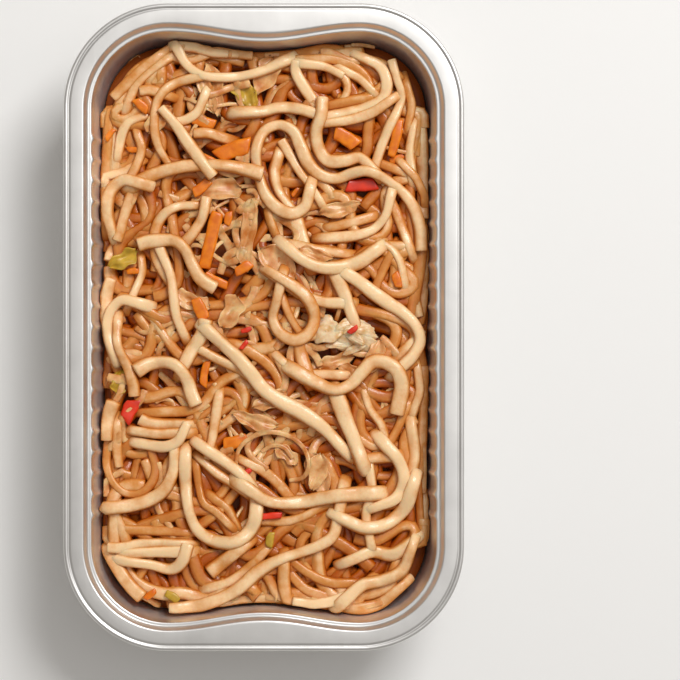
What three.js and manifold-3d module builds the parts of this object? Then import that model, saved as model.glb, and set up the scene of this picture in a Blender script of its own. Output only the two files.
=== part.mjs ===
// Noodle takeaway box: a pressed aluminium tray, open at the top, filled with fried noodles and vegetables.
// Millimetres, +Z up. The origin is the middle of the tray's underside, and +Y runs along the tray.
import * as THREE from "three";
import { mergeVertices } from "three/addons/utils/BufferGeometryUtils.js";
import Module from "manifold-3d";

const wasm = await Module();
wasm.setup();

// Tray, in plan
const LENGTH = 210; // along Y, over the rolled edge
const WIDTH = 130; // along X, over the rolled edge
const CORNER = 34; // radius of the outer corners
const BOW = 3.3; // how far the short walls curve in at their middle
const RIB_PITCH = 6.8; // upright ribs in the long walls
const RIB_COUNT = 19; // on each long wall
const RIB_DEPTH = 1.0; // how far a rib stands into the tray

// Tray, in section
const HEIGHT = 40; // underside to the top of the flange
const FOIL = 0.6; // sheet, drawn stouter than the real 0.15 mm so that it is a sound solid
const BEAD = 1.7; // rolled edge, across
const GROOVE = 0.3; // between the rolled edge and the flat flange
const FLANGE_IN = 6.5; // from the outer edge to the end of the flat flange
const LEDGE_OUT = 7.8; // to the start of the ledge below the flange
const LEDGE_IN = 8.8; // to the end of the ledge, where the wall begins
const LEDGE_DROP = 2.1; // ledge below the flange, the seat of a lid
const EDGE_ROUND = 0.4; // rounding where the ledge turns down into the wall
const WALL_TOP = 36.7; // height at which the straight wall begins
const WALL_FOOT = 5.0; // height at which it turns into the floor
const DRAFT = 0.13; // lean of the wall, sideways for each millimetre of height
const RIB_FOOT = 0.3; // share of a rib's depth that is left at the wall's foot
const BOW_FOOT = 0.6; // share of the bow that is left there
const FLOOR_TURN = 4.5; // how far the floor's edge curve reaches in

// Heap of noodles
const SIDE_GAP = 0.5; // between the heap and the tray
const EDGE_LEVEL = 24; // height of the core at the walls
const CROWN = 2.8; // how much higher the core is in the middle
const UNEVEN = 0.8; // low swells in the core's top
const STRAND_RADIUS = 2.1;
const STRAND_SIDES = 6;
const STRAND_STEP = 7; // between the sections of a strand
const STRAND_LENGTH = [55, 105];
const STRAND_SHORTEST = 30; // a strand with less room than this is skipped
const LOOK_AHEAD = 7; // how far before a wall or a topping a strand begins to turn
const TIGHTEST = 0.14; // tightest bend, in radians for each millimetre
const BENDING = [0.03, 0.08]; // usual bend, in radians for each millimetre
const SWING = [28, 58]; // length over which the bend swings to the other side and back
const GLANCE = 0.5; // how far to each side a strand looks ahead, in radians
const NEAR = 2; // room ahead at which it turns away
const STRAND_COUNT = 26;
const STRAND_TRIES = 80; // plans drawn for each strand, of which the one over the most bare core is laid
const STRAND_SINK = 0.7; // how far a strand is pressed into what it lies on
const STEEPEST = 0.42; // steepest climb of a strand
const HIGHEST = 35; // top of the highest strand
const WALL_CLEAR = 0.3; // between a strand and the side of the heap
const TOPPING_GAP = 0.35; // between a topping and the core
const TOPPING_CLEAR = 0.9; // between a topping and the nearest strand
const LONG_TOPPING = 14; // a longer one has more cells along it
const SIDES_LOWER = 0.22; // share by which a topping is thinner at its sides
const ENDS_LOWER = 0.18; // and at its ends

// Small seeded generator, so that the heap is the same each time
function seededRandom(seed) {
  let state = seed;
  return () => {
    state = (state + 0x6d2b79f5) | 0;
    let t = Math.imul(state ^ (state >>> 15), 1 | state);
    t = (t + Math.imul(t ^ (t >>> 7), 61 | t)) ^ t;
    return ((t ^ (t >>> 14)) >>> 0) / 2 ** 32;
  };
}

// Solids

function indexedGeometry(positions, triangles) {
  const geometry = new THREE.BufferGeometry();
  geometry.setAttribute("position", new THREE.Float32BufferAttribute(positions, 3));
  geometry.setIndex(triangles);
  return geometry;
}

// Closed skin through rings of equal counts, from a point above the first to a point below the last.
function skinOverRings(first, rings, last) {
  const count = rings[0].length;
  const points = [first, ...rings.flat(), last];
  const end = points.length - 1;
  const at = (ring, i) => 1 + ring * count + (i % count);
  const triangles = [];
  for (let i = 0; i < count; i++) {
    triangles.push(0, at(0, i), at(0, i + 1));
    triangles.push(end, at(rings.length - 1, i + 1), at(rings.length - 1, i));
    for (let ring = 0; ring + 1 < rings.length; ring++) {
      const [a, b] = [at(ring, i), at(ring, i + 1)];
      const [c, d] = [at(ring + 1, i), at(ring + 1, i + 1)];
      triangles.push(a, d, b, a, c, d);
    }
  }
  return indexedGeometry(points.flatMap((p) => p.toArray()), triangles);
}

function toSolid(geometry) {
  const bare = geometry.clone();
  bare.deleteAttribute("normal");
  bare.deleteAttribute("uv");
  const merged = mergeVertices(bare, 1e-4);
  return new wasm.Manifold(
    new wasm.Mesh({
      numProp: 3,
      vertProperties: merged.attributes.position.array,
      triVerts: new Uint32Array(merged.index.array),
    }),
  );
}

function toGeometry(solid) {
  const { vertProperties, triVerts } = solid.getMesh();
  return indexedGeometry(Array.from(vertProperties), Array.from(triVerts));
}

// Tray

// Stations round the tray. Each is a point of the inner rectangle that the corner arcs are centred on, the
// outward direction there, and how much of the bow and of a rib the wall takes up.
function trayStations(perSide, perCorner, perEnd) {
  const halfX = WIDTH / 2 - CORNER;
  const halfY = LENGTH / 2 - CORNER;
  const stations = [];
  const ribRun = (RIB_COUNT * RIB_PITCH) / 2;
  const longSide = (sign) => {
    for (let i = 0; i <= perSide; i++) {
      const y = sign * (2 * (i / perSide) - 1) * ribRun;
      const rib = 0.5 - 0.5 * Math.cos((2 * Math.PI * RIB_COUNT * i) / perSide);
      stations.push({ x: sign * halfX, y, nx: sign, ny: 0, bow: 0, rib });
    }
  };
  const corner = (signX, signY, from) => {
    for (let i = 0; i <= perCorner; i++) {
      const a = from + (Math.PI / 2) * (i / perCorner);
      const [nx, ny] = [Math.cos(a), Math.sin(a)];
      stations.push({ x: signX * halfX, y: signY * halfY, nx, ny, bow: 0, rib: 0 });
    }
  };
  const shortSide = (sign) => {
    for (let i = 1; i < perEnd; i++) {
      const x = sign * (1 - 2 * (i / perEnd)) * halfX;
      const bow = 0.5 + 0.5 * Math.cos((Math.PI * x) / halfX);
      stations.push({ x, y: sign * halfY, nx: 0, ny: sign, bow, rib: 0 });
    }
  };
  longSide(1);
  corner(1, 1, 0);
  shortSide(1);
  corner(-1, 1, Math.PI / 2);
  longSide(-1);
  corner(-1, -1, Math.PI);
  shortSide(-1);
  corner(1, -1, 1.5 * Math.PI);
  return stations;
}

// One ring round the tray, a given distance in from the outer edge.
function trayRing(stations, { inset, z, bow = 0, rib = 0 }) {
  return stations.map((s) => {
    const reach = CORNER - inset - s.bow * BOW * bow - s.rib * RIB_DEPTH * rib;
    return new THREE.Vector3(s.x + s.nx * reach, s.y + s.ny * reach, z);
  });
}

const wallInset = (z) => LEDGE_IN + EDGE_ROUND + DRAFT * (WALL_TOP - z);

function trayGeometry() {
  const floorInset = wallInset(WALL_FOOT) + FLOOR_TURN;
  const [ledge, top] = [HEIGHT - LEDGE_DROP, HEIGHT];
  const inside = [
    { inset: floorInset, z: FOIL, bow: 0.5 },
    { inset: wallInset(WALL_FOOT), z: WALL_FOOT, bow: BOW_FOOT, rib: RIB_FOOT },
    { inset: wallInset(WALL_TOP), z: WALL_TOP, bow: 1, rib: 1 },
    { inset: LEDGE_IN, z: ledge, bow: 1 },
    { inset: LEDGE_OUT, z: ledge, bow: 1 },
    { inset: FLANGE_IN, z: top, bow: 1 },
    { inset: BEAD + GROOVE, z: top },
    { inset: BEAD / 2, z: top + 0.1 },
  ];
  const outside = [
    { inset: 0, z: top - BEAD / 2 },
    { inset: BEAD / 2, z: top - BEAD },
    { inset: BEAD + GROOVE, z: top - FOIL },
    { inset: FLANGE_IN - FOIL / 2, z: top - FOIL, bow: 1 },
    { inset: LEDGE_OUT - FOIL / 2, z: ledge - FOIL, bow: 1 },
    { inset: wallInset(WALL_TOP) - FOIL, z: WALL_TOP - FOIL, bow: 1, rib: 1 },
    { inset: wallInset(WALL_FOOT) - FOIL, z: WALL_FOOT, bow: BOW_FOOT, rib: RIB_FOOT },
    { inset: wallInset(WALL_FOOT) + 0.7, z: 1.1, bow: 0.5 },
    { inset: floorInset, z: 0, bow: 0.5 },
  ];
  const stations = trayStations(2 * RIB_COUNT, 6, 8);
  const rings = [...inside, ...outside].map((row) => trayRing(stations, row));
  return skinOverRings(new THREE.Vector3(0, 0, FOIL), rings, new THREE.Vector3(0, 0, 0));
}

// Heap of noodles

// Height of the bare core: highest in the middle, falling to the walls, with low swells.
function coreTop(x, y) {
  const [u, v] = [(2 * x) / (WIDTH - 20), (2 * y) / (LENGTH - 20)];
  const dome = Math.max(0, 1 - Math.abs(u) ** 3) * Math.max(0, 1 - Math.abs(v) ** 4);
  const swell = Math.sin(x / 11 + 1) * Math.cos(y / 17) + Math.sin((x + y) / 23);
  return EDGE_LEVEL + CROWN * dome + UNEVEN * swell * 0.5;
}

// Distance in from the tray's outer edge that the heap's side keeps at a height.
const heapInset = (z) => wallInset(z) + RIB_DEPTH + SIDE_GAP;

function coreGeometry() {
  const stations = trayStations(8, 4, 4);
  const bottom = FOIL + SIDE_GAP;
  const side = [
    trayRing(stations, { inset: heapInset(WALL_FOOT) + FLOOR_TURN, z: bottom, bow: 1 }),
    trayRing(stations, { inset: heapInset(WALL_FOOT), z: WALL_FOOT + 1, bow: 1 }),
  ];
  const edge = trayRing(stations, { inset: heapInset(EDGE_LEVEL), z: EDGE_LEVEL, bow: 1 });
  const shares = [1, 0.84, 0.64, 0.42, 0.2];
  const top = shares.map((share) =>
    edge.map((p) => {
      const [x, y] = [p.x * share, p.y * share];
      return new THREE.Vector3(x, y, coreTop(x, y));
    }),
  );
  const rings = [...side, ...top].reverse();
  return skinOverRings(new THREE.Vector3(0, 0, coreTop(0, 0)), rings, new THREE.Vector3(0, 0, bottom));
}

// How far a point lies inside the heap's outline, negative outside it.
function roomAt(x, y, inset) {
  const dx = Math.abs(x) - (WIDTH / 2 - CORNER);
  const dy = Math.abs(y) - (LENGTH / 2 - CORNER);
  const reach = dx > 0 && dy > 0 ? Math.hypot(dx, dy) : Math.max(dx, dy);
  const halfX = WIDTH / 2 - CORNER;
  const bow = dy > 0 && dx < 0 ? BOW * (0.5 + 0.5 * Math.cos((Math.PI * x) / halfX)) : 0;
  return CORNER - inset - bow - reach;
}

// Toppings: place of the middle, turn of the long side in degrees, and size as length, width and thickness.
// Ends gives the width at the two ends as a share of the full width.
const toppings = [
  { name: "carrot_1", at: [-17.7, 28.5], turn: 76, size: [18.5, 4.4, 3.4], ends: [0.8, 0.7] },
  { name: "carrot_2", at: [-10.3, 58], turn: 19, size: [11, 5.6, 3], ends: [0.2, 0.3] },
  { name: "carrot_3", at: [-16.6, 54], turn: -27, size: [8.5, 2.8, 2.6], ends: [0.7, 0.2] },
  { name: "carrot_4", at: [-16.1, 15.4], turn: -27, size: [8, 3, 2.8], ends: [0.8, 0.2] },
  { name: "carrot_5", at: [-20.3, 67.4], turn: -15, size: [7.6, 3.6, 3], ends: [0.7, 0.8] },
  { name: "carrot_6", at: [-19.7, -15.2], turn: 80, size: [8, 2.7, 2.6], ends: [0.3, 0.8] },
  { name: "carrot_7", at: [-9.6, -37.6], turn: 12, size: [7.6, 4.2, 3.2], ends: [0.8, 0.7] },
  { name: "carrot_8", at: [43, 62], turn: 76, size: [12, 3.2, 2.8], ends: [0.7, 0.6] },
  { name: "carrot_9", at: [26.6, 62], turn: -35, size: [8, 5, 3], ends: [0.6, 0.7] },
  { name: "pepper_1", at: [31.8, 46.7], turn: 4, size: [9.2, 4.2, 2.4], ends: [0.5, 0.4] },
  { name: "pepper_2", at: [-44.3, -27.2], turn: 62, size: [7, 4.8, 2.4], ends: [0.9, 0.2] },
  { name: "pepper_3", at: [1.7, -61.9], turn: 5, size: [7.4, 2.2, 2.2], ends: [0.6, 0.4] },
  { name: "leek_1", at: [-6.4, 76], turn: -58, size: [10.5, 7, 1.6], ends: [0.7, 0.5], wave: 0.7 },
  { name: "leek_2", at: [-46.6, 22.4], turn: 32, size: [10, 7, 1.6], ends: [0.6, 0.8], wave: 0.7 },
  { name: "leek_3", at: [-47.6, -18], turn: 70, size: [7.4, 5.8, 1.6], ends: [0.7, 0.8], wave: 0.5 },
  { name: "cabbage_1", at: [-16.8, 78], turn: -73, size: [17, 6.8, 1.8], ends: [0.6, 0.8], wave: 0.9 },
  { name: "cabbage_2", at: [-6.2, 31], turn: 88, size: [21, 6.6, 1.8], ends: [0.9, 0.6], wave: 0.9 },
  { name: "cabbage_3", at: [17.6, -48], turn: -62, size: [14, 7.4, 1.6], ends: [0.6, 0.7], wave: 0.9 },
  { name: "chicken", at: [26.6, -2.6], turn: -8, size: [21, 13, 4.6], ends: [0.6, 0.5], lumps: 0.9 },
];

// Half width of a topping at a share of its length, from -1 to 1: its ends are cut, and its sides bow out.
function halfWidthAt(piece, along) {
  const cut = piece.ends[along < 0 ? 0 : 1];
  return (piece.size[1] / 2) * (cut + (1 - cut) * Math.cos((along * Math.PI) / 2));
}

// Place of a point of a topping, given as shares of its half length and half width.
function placeOf(piece, along, across) {
  const point = new THREE.Vector2((along * piece.size[0]) / 2, across * halfWidthAt(piece, along));
  point.rotateAround(new THREE.Vector2(), THREE.MathUtils.degToRad(piece.turn));
  return point.add(new THREE.Vector2(...piece.at)).toArray();
}

// A piece that follows the core under it: a grid for its underside, the same grid raised for its top, a rim.
function toppingGeometry(piece) {
  const [length, , thick] = piece.size;
  const { wave = 0, lumps = 0 } = piece;
  const [cellsAlong, cellsAcross] = [length > LONG_TOPPING ? 6 : 4, lumps ? 4 : 2];
  const [under, over] = [[], []];
  for (let i = 0; i <= cellsAlong; i++) {
    for (let j = 0; j <= cellsAcross; j++) {
      const along = (2 * i) / cellsAlong - 1;
      const across = (2 * j) / cellsAcross - 1;
      const [x, y] = placeOf(piece, along, across);
      const lift = wave * (1 + Math.sin(i * 2.1 + j * 1.3));
      const round = 1 - SIDES_LOWER * across ** 2 - ENDS_LOWER * along ** 4;
      const lump = lumps * Math.sin(i * 2.4 + j * 1.7);
      const base = coreTop(x, y) + TOPPING_GAP + lift;
      under.push([x, y, base]);
      over.push([x, y, base + thick * round + lump]);
    }
  }
  return sheetGeometry(under, over, cellsAlong, cellsAcross);
}

// Closed solid between two grids whose cells are split alike.
function sheetGeometry(under, over, cellsAlong, cellsAcross) {
  const row = cellsAcross + 1;
  const offset = under.length;
  const triangles = [];
  for (let i = 0; i < cellsAlong; i++) {
    for (let j = 0; j < cellsAcross; j++) {
      const [a, b] = [i * row + j, i * row + j + 1];
      const [c, d] = [a + row, b + row];
      triangles.push(a, b, d, a, d, c);
      triangles.push(offset + a, offset + d, offset + b, offset + a, offset + c, offset + d);
    }
  }
  const wall = (p, q) => triangles.push(p, q, offset + q, p, offset + q, offset + p);
  for (let i = 0; i < cellsAlong; i++) {
    wall(i * row, (i + 1) * row);
    wall((i + 1) * row + cellsAcross, i * row + cellsAcross);
  }
  for (let j = 0; j < cellsAcross; j++) {
    wall(j + 1, j);
    wall(cellsAlong * row + j, cellsAlong * row + j + 1);
  }
  return indexedGeometry([...under, ...over].flat(), triangles);
}

// Distance in plan from a point to a topping's outer rectangle.
function distanceTo(piece, x, y) {
  const point = new THREE.Vector2(x - piece.at[0], y - piece.at[1]);
  point.rotateAround(new THREE.Vector2(), -THREE.MathUtils.degToRad(piece.turn));
  const outAlong = Math.max(0, Math.abs(point.x) - piece.size[0] / 2);
  const outAcross = Math.max(0, Math.abs(point.y) - piece.size[1] / 2);
  return Math.hypot(outAlong, outAcross);
}

// Room for a strand's middle line at a point, to walls and toppings, negative where none is left.
function roomFor(x, y) {
  const toWall = roomAt(x, y, heapInset(EDGE_LEVEL) + STRAND_RADIUS + WALL_CLEAR);
  const toToppings = toppings.map((piece) => distanceTo(piece, x, y) - STRAND_RADIUS - TOPPING_CLEAR);
  return Math.min(toWall, ...toToppings);
}

// Heights of what lies in the tray so far, in cells of one millimetre, and the cells that strands cover.
const cellsX = WIDTH;
const cellsY = LENGTH;
const relief = new Float32Array(cellsX * cellsY);
const covered = new Uint8Array(cellsX * cellsY);
const cellMiddle = (i, j) => [i + 0.5 - cellsX / 2, j + 0.5 - cellsY / 2];
for (let j = 0; j < cellsY; j++) {
  for (let i = 0; i < cellsX; i++) relief[j * cellsX + i] = coreTop(...cellMiddle(i, j));
}

// Calls visit(cell, rise) for the cells under a round strand, with how far its skin is off its middle there.
function underStrand(x, y, visit) {
  const reach = Math.ceil(STRAND_RADIUS);
  const [ci, cj] = [Math.floor(x + cellsX / 2), Math.floor(y + cellsY / 2)];
  for (let j = cj - reach; j <= cj + reach; j++) {
    for (let i = ci - reach; i <= ci + reach; i++) {
      if (i < 0 || j < 0 || i >= cellsX || j >= cellsY) continue;
      const [mx, my] = cellMiddle(i, j);
      const square = STRAND_RADIUS ** 2 - (mx - x) ** 2 - (my - y) ** 2;
      if (square > 0) visit(j * cellsX + i, Math.sqrt(square));
    }
  }
}

// Plan of a strand: it wanders with a slowly changing bend and turns away from the walls and the toppings.
function strandPlan(random, startX, startY) {
  const length = THREE.MathUtils.lerp(...STRAND_LENGTH, random());
  const bend = THREE.MathUtils.lerp(...BENDING, random());
  const phase = random() * 2 * Math.PI;
  const swing = THREE.MathUtils.lerp(...SWING, random());
  let heading = random() * 2 * Math.PI;
  let [x, y] = [startX, startY];
  const ahead = (turn) => {
    const way = heading + turn;
    return roomFor(x + LOOK_AHEAD * Math.cos(way), y + LOOK_AHEAD * Math.sin(way));
  };
  const plan = [];
  for (let s = 0; s <= length && roomFor(x, y) > 0; s++) {
    plan.push([x, y]);
    const [left, right] = [ahead(GLANCE), ahead(-GLANCE)];
    const blocked = Math.min(left, right) < NEAR;
    const wander = bend * Math.sin((2 * Math.PI * s) / swing + phase);
    heading += blocked ? Math.sign(left - right) * TIGHTEST : wander;
    x += Math.cos(heading);
    y += Math.sin(heading);
  }
  return plan;
}

// Heights for a plan: the strand rests on what is under it, bridges dips and never climbs too steeply.
function drape(plan) {
  const heights = plan.map(([x, y]) => {
    let rest = 0;
    underStrand(x, y, (cell, rise) => {
      rest = Math.max(rest, relief[cell] + rise);
    });
    return rest - STRAND_SINK;
  });
  const last = heights.length - 1;
  for (let i = 1; i <= last; i++) heights[i] = Math.max(heights[i], heights[i - 1] - STEEPEST);
  for (let i = last - 1; i >= 0; i--) heights[i] = Math.max(heights[i], heights[i + 1] - STEEPEST);
  return heights;
}

function strandGeometry(plan, heights) {
  const every = Math.max(1, Math.round(STRAND_STEP / 2));
  const kept = plan.map(([x, y], i) => new THREE.Vector3(x, y, heights[i])).filter((_, i) => i % every === 0);
  const path = new THREE.CatmullRomCurve3(kept, false, "centripetal");
  const corners = [];
  for (let i = 0; i < STRAND_SIDES; i++) {
    const a = (2 * Math.PI * (i + 0.5)) / STRAND_SIDES;
    corners.push(new THREE.Vector2(STRAND_RADIUS * Math.cos(a), STRAND_RADIUS * Math.sin(a)));
  }
  const steps = Math.round(plan.length / STRAND_STEP);
  return new THREE.ExtrudeGeometry(new THREE.Shape(corners), { steps, extrudePath: path });
}

// Length of a plan over bare core, less its length over strands that are there already.
function newGround(plan) {
  const bare = plan.filter(([x, y]) => {
    let free = true;
    underStrand(x, y, (cell) => {
      free = free && !covered[cell];
    });
    return free;
  });
  return 2 * bare.length - plan.length;
}

// The next strand, spread evenly: of several plans, the one that covers the most new ground.
function nextStrand(random) {
  let best = { gain: -Infinity };
  for (let i = 0; i < STRAND_TRIES; i++) {
    const plan = strandPlan(random, (random() - 0.5) * (WIDTH - 30), (random() - 0.5) * (LENGTH - 30));
    if (plan.length < STRAND_SHORTEST) continue;
    const heights = drape(plan);
    const gain = newGround(plan);
    if (gain > best.gain && Math.max(...heights) + STRAND_RADIUS < HIGHEST) best = { plan, heights, gain };
  }
  return best;
}

// Lays strands one after another over the core and fuses them into one body.
function noodleGeometry() {
  const random = seededRandom(3);
  let heap = toSolid(coreGeometry());
  for (let i = 0; i < STRAND_COUNT; i++) {
    const { plan, heights } = nextStrand(random);
    if (!plan) continue;
    heap = heap.add(toSolid(strandGeometry(plan, heights)));
    plan.forEach(([x, y], j) => {
      underStrand(x, y, (cell, rise) => {
        relief[cell] = Math.max(relief[cell], heights[j] + rise);
        covered[cell] = 1;
      });
    });
  }
  // Sealed hollows and loose scraps are left out: the outer skin is the largest body.
  const bodies = heap.decompose().sort((a, b) => b.volume() - a.volume());
  return toGeometry(bodies[0]);
}

// Materials

const looks = {
  tray: { color: 0xcfcbc7, roughness: 0.32, metalness: 1 },
  noodles: { color: 0xe3b47c, roughness: 0.42, metalness: 0 },
  carrot: { color: 0xe06a12, roughness: 0.45, metalness: 0 },
  pepper: { color: 0xd63a1c, roughness: 0.35, metalness: 0 },
  leek: { color: 0xb08a2a, roughness: 0.45, metalness: 0 },
  cabbage: { color: 0xe2bd86, roughness: 0.45, metalness: 0 },
  chicken: { color: 0xdcb68a, roughness: 0.55, metalness: 0 },
};

function namedMesh(name, geometry) {
  const kind = name.split("_")[0];
  const mesh = new THREE.Mesh(geometry, new THREE.MeshStandardMaterial(looks[kind]));
  mesh.name = name;
  return mesh;
}

const box = new THREE.Group();
box.add(namedMesh("tray", trayGeometry()));
box.add(namedMesh("noodles", noodleGeometry()));
for (const piece of toppings) box.add(namedMesh(piece.name, toppingGeometry(piece)));

export default box;
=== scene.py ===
import math
import bpy
import numpy as np
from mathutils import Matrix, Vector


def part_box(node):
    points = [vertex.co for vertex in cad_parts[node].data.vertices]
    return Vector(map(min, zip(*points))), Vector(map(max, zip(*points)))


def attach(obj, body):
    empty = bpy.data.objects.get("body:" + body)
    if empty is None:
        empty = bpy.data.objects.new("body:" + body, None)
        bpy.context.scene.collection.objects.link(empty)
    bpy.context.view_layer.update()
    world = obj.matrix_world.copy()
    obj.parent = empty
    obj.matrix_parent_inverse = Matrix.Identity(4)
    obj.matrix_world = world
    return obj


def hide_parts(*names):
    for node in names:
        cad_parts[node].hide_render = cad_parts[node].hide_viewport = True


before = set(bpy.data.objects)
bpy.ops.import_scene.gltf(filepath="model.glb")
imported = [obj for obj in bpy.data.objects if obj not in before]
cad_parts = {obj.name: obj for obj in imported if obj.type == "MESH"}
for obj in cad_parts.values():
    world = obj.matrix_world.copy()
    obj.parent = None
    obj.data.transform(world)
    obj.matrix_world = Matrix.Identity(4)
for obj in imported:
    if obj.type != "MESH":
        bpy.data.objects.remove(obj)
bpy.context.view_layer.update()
mm = 0.001  # lengths below are millimetres, meshes are metres
print("frame: %d nodes" % len(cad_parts))


# Tools shared by the pieces

# sRGB hex to the linear colour that shader sockets take
def linear(hexText):
    part = np.array([int(hexText[i:i + 2], 16) for i in (1, 3, 5)]) / 255
    curve = np.where(part <= 0.04045, part / 12.92, ((part + 0.055) / 1.055) ** 2.4)
    return (*curve.tolist(), 1.0)


# adds a node, sets its sockets or fields, and links other nodes' outputs into it
def addNode(tree, kind, settings=None, links=None):
    node = tree.nodes.new(kind)
    for key, value in (settings or {}).items():
        if isinstance(key, int) or key in node.inputs:
            node.inputs[key].default_value = value
        else:
            setattr(node, key, value)
    for key, (source, output) in (links or {}).items():
        tree.links.new(source.outputs[output], node.inputs[key])
    return node


# empty material and its node tree
def newMaterial(name):
    made = bpy.data.materials.new(name)
    made.use_nodes = True
    made.node_tree.nodes.clear()
    return made, made.node_tree


# quads of a grid of rows and columns, the last column joined to the first
def gridFaces(rows, columns):
    r = np.arange(rows - 1)[:, None]
    c = np.arange(columns)[None, :]
    n = (c + 1) % columns
    corners = [r * columns + c, r * columns + n, (r + 1) * columns + n, (r + 1) * columns + c]
    return np.stack(corners, -1).reshape(-1, 4)


# triangles from one point to a closed ring that starts at an index
def fanFaces(point, start, count):
    i = np.arange(count)
    return np.stack([np.full(count, point), start + i, start + (i + 1) % count], -1)


# fans that close both ends of a stack of rings, whose two end points come last
def endFans(count, rows, sides):
    first = fanFaces(count - 2, 0, sides)[:, ::-1]
    last = fanFaces(count - 1, (rows - 1) * sides, sides)
    return np.concatenate([first, last])


# ring of points round a superellipse: cosine and sine raised to 2 over its squareness
def squaredRing(angle, square):
    c, s = np.cos(angle), np.sin(angle)
    return np.stack([np.sign(c) * np.abs(c) ** (2 / square), np.sign(s) * np.abs(s) ** (2 / square)], -1)


# volume inside closed faces: a sixth of the sum of corner . (edge x edge) over their triangles
def volumeOf(points, faces):
    total = 0.0
    for group in faces:
        a = points[group[:, 0]]
        for k in range(1, group.shape[1] - 1):
            normals = np.cross(points[group[:, k]], points[group[:, k + 1]])
            total += np.einsum("ij,ij->", a, normals) / 6
    return total


# mesh object from points in millimetres and groups of faces, turned so that the faces look outwards
def makePiece(name, points, faces, material, values=None):
    if volumeOf(points, faces) < 0:
        faces = [group[:, ::-1] for group in faces]
    mesh = bpy.data.meshes.new(name)
    corners = np.concatenate([group.ravel() for group in faces])
    sizes = np.concatenate([np.full(len(group), group.shape[1]) for group in faces])
    mesh.vertices.add(len(points))
    mesh.vertices.foreach_set("co", (points * mm).astype(np.float32).ravel())
    mesh.loops.add(len(corners))
    mesh.loops.foreach_set("vertex_index", corners.astype(np.int32))
    mesh.polygons.add(len(sizes))
    mesh.polygons.foreach_set("loop_start", (np.cumsum(sizes) - sizes).astype(np.int32))
    mesh.polygons.foreach_set("use_smooth", np.ones(len(sizes), bool))
    for key, value in (values or {}).items():
        mesh.attributes.new(key, "FLOAT", "POINT")
        mesh.attributes[key].data.foreach_set("value", value.astype(np.float32))
    mesh.update(calc_edges=True)
    mesh.validate()
    mesh.materials.append(material)
    piece = bpy.data.objects.new(name, mesh)
    bpy.context.scene.collection.objects.link(piece)
    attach(piece, "root")
    print("%s: %d triangles" % (name, int((sizes - 2).sum())))
    return piece


# joins closed shells given as (points, faces, values) into one set of arrays
def joinShells(shells):
    starts = np.cumsum([0] + [len(points) for points, _, _ in shells])
    points = np.concatenate([shell[0] for shell in shells])
    quads = np.concatenate([shell[1][0] + start for shell, start in zip(shells, starts)])
    fans = np.concatenate([shell[1][1] + start for shell, start in zip(shells, starts)])
    values = {key: np.concatenate([shell[2][key] for shell in shells]) for key in shells[0][2]}
    return points, [quads, fans], values


# Materials

# Pressed aluminium foil, rolled satin: broad soft reflections, a little duller in faint streaks along
# the roll, and duller still on the walls, where the press has drawn it
def rolledFoil():
    made, tree = newMaterial("rolled aluminium foil, pressed")
    place = addNode(tree, "ShaderNodeTexCoord")
    along = addNode(tree, "ShaderNodeMapping", {"Scale": (1 / (0.5 * mm), 1 / (30 * mm), 1 / (6 * mm))},
                    {"Vector": (place, "Object")})  # streaks half a millimetre wide and some 30 mm long
    streak = addNode(tree, "ShaderNodeTexNoise", {"Scale": 1.0, "Detail": 3.0}, {"Vector": (along, 0)})
    dent = addNode(tree, "ShaderNodeTexNoise", {"Scale": 1 / (9 * mm), "Detail": 2.0},
                   {"Vector": (place, "Object")})
    satin = addNode(tree, "ShaderNodeMapRange", {3: 0.32, 4: 0.46}, {0: (streak, 0)})
    level = addNode(tree, "ShaderNodeSeparateXYZ", None, {0: (place, "Object")})
    drawn = addNode(tree, "ShaderNodeMapRange", {1: 37.5 * mm, 2: 32 * mm, 3: 0.0, 4: 0.2},
                    {0: (level, "Z")})  # from the lid's seat down
    dull = addNode(tree, "ShaderNodeMath", {"operation": "ADD"}, {0: (satin, 0), 1: (drawn, 0)})
    tint = addNode(tree, "ShaderNodeMix",
                   {"data_type": "RGBA", 6: linear("#DAD8D5"), 7: linear("#F1EFEC")}, {0: (dent, 0)})
    bump = addNode(tree, "ShaderNodeBump", {"Strength": 0.10, "Distance": 0.3 * mm}, {"Height": (dent, 0)})
    shader = addNode(tree, "ShaderNodeBsdfPrincipled", {"Metallic": 1.0},
                     {"Base Color": (tint, 2), "Roughness": (dull, 0), "Normal": (bump, 0)})
    addNode(tree, "ShaderNodeOutputMaterial", None, {"Surface": (shader, 0)})
    return made


# colour that runs through given stops as a value goes from 0 to 1
def addRamp(tree, stops, source):
    ramp = addNode(tree, "ShaderNodeValToRGB", None, {0: source})
    elements = ramp.color_ramp.elements
    elements[0].position, elements[1].position = stops[0][0], stops[-1][0]
    elements[0].color, elements[1].color = linear(stops[0][1]), linear(stops[-1][1])
    for place, colour in stops[1:-1]:
        elements.new(place).color = linear(colour)
    return ramp


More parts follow.
